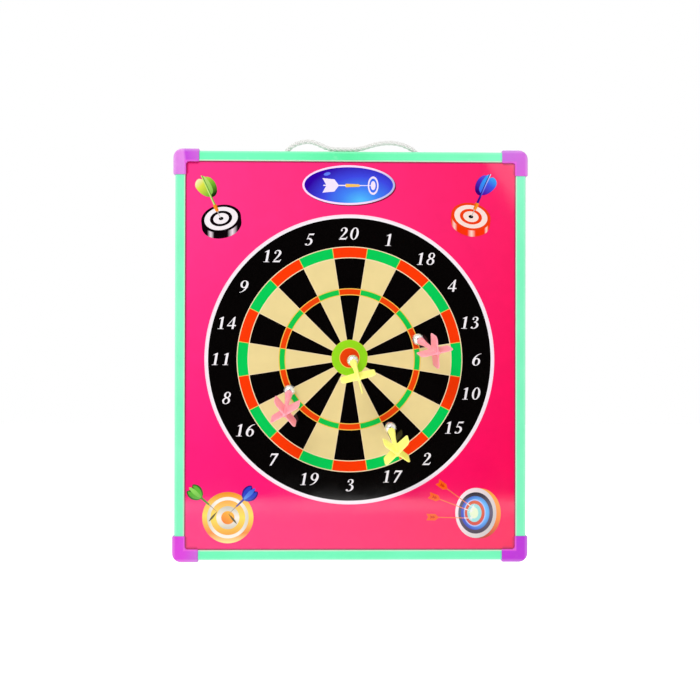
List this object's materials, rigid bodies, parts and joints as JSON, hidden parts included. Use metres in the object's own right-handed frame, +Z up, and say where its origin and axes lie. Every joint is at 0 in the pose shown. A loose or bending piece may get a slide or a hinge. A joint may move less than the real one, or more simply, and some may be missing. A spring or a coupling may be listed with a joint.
{
  "type": "magnetic dartboard",
  "caption": "Upright magnetic dartboard with a printed steel face, plastic rails and corner caps, a cord handle, and ball-headed magnetic darts with vaned tails.",
  "frame": {"origin": "middle of the board's back, on the wall plane that the backs of the corner caps touch", "axes": "+Z up along the board's height, +Y into the wall, so the printed face looks along -Y, and +X to the right seen from the front"},
  "size_m": [0.37, 0.0654, 0.4414],
  "materials": {
    "printed_steel": "glossy print on thin steel: hot pink ground with a black, cream, red and green dial",
    "fibre_core": "raw pressed fibre",
    "back_card": "matt white card",
    "mint_plastic": "satin extruded plastic",
    "purple_plastic": "satin moulded plastic",
    "cord": "twisted white rope",
    "plated_magnet": "bright plated",
    "yellow_tail": "soft translucent moulded plastic",
    "pink_tail": "soft translucent moulded plastic"
  },
  "bodies": {
    "board": {"front_sheet": "printed_steel", "core_panel": "fibre_core", "back_sheet": "back_card", "rail_top": "mint_plastic", "rail_bottom": "mint_plastic", "rail_left": "mint_plastic", "rail_right": "mint_plastic", "corner_cap_top_left": "purple_plastic", "corner_cap_top_right": "purple_plastic", "corner_cap_bottom_left": "purple_plastic", "corner_cap_bottom_right": "purple_plastic", "hang_cord": "cord", "cord_knot_left": "cord", "cord_knot_right": "cord"},
    "dart_1_head": {"dart_1_magnet_ball": "plated_magnet"},
    "dart_1_flight": {"dart_1_tail": "yellow_tail"},
    "dart_2_head": {"dart_2_magnet_ball": "plated_magnet"},
    "dart_2_flight": {"dart_2_tail": "pink_tail"},
    "dart_3_head": {"dart_3_magnet_ball": "plated_magnet"},
    "dart_3_flight": {"dart_3_tail": "pink_tail"},
    "dart_4_head": {"dart_4_magnet_ball": "plated_magnet"},
    "dart_4_flight": {"dart_4_tail": "yellow_tail"}
  },
  "joints": [
    {"name": "dart_1_pull", "type": "slide", "parent": "board", "child": "dart_1_head", "axis": [0, -1, 0], "range_m": [0, 0.12]},
    {"name": "dart_1_tilt", "type": "hinge", "parent": "dart_1_head", "child": "dart_1_flight", "pos_m": [0.002, -0.01547, -0.0053], "axis": [0.9613, 0, 0.2756], "range_deg": [-24, 45]},
    {"name": "dart_2_pull", "type": "slide", "parent": "board", "child": "dart_2_head", "axis": [0, -1, 0], "range_m": [0, 0.12]},
    {"name": "dart_2_tilt", "type": "hinge", "parent": "dart_2_head", "child": "dart_2_flight", "pos_m": [0.07, -0.01547, 0.017], "axis": [0.6691, 0, 0.7431], "range_deg": [-28, 46]},
    {"name": "dart_3_pull", "type": "slide", "parent": "board", "child": "dart_3_head", "axis": [0, -1, 0], "range_m": [0, 0.12]},
    {"name": "dart_3_tilt", "type": "hinge", "parent": "dart_3_head", "child": "dart_3_flight", "pos_m": [-0.0635, -0.01547, -0.0365], "axis": [0.9903, 0, -0.1392], "range_deg": [-30, 46]},
    {"name": "dart_4_pull", "type": "slide", "parent": "board", "child": "dart_4_head", "axis": [0, -1, 0], "range_m": [0, 0.12]},
    {"name": "dart_4_tilt", "type": "hinge", "parent": "dart_4_head", "child": "dart_4_flight", "pos_m": [0.0415, -0.01547, -0.075], "axis": [0.9816, 0, 0.1908], "range_deg": [-31, 44]}
  ]
}
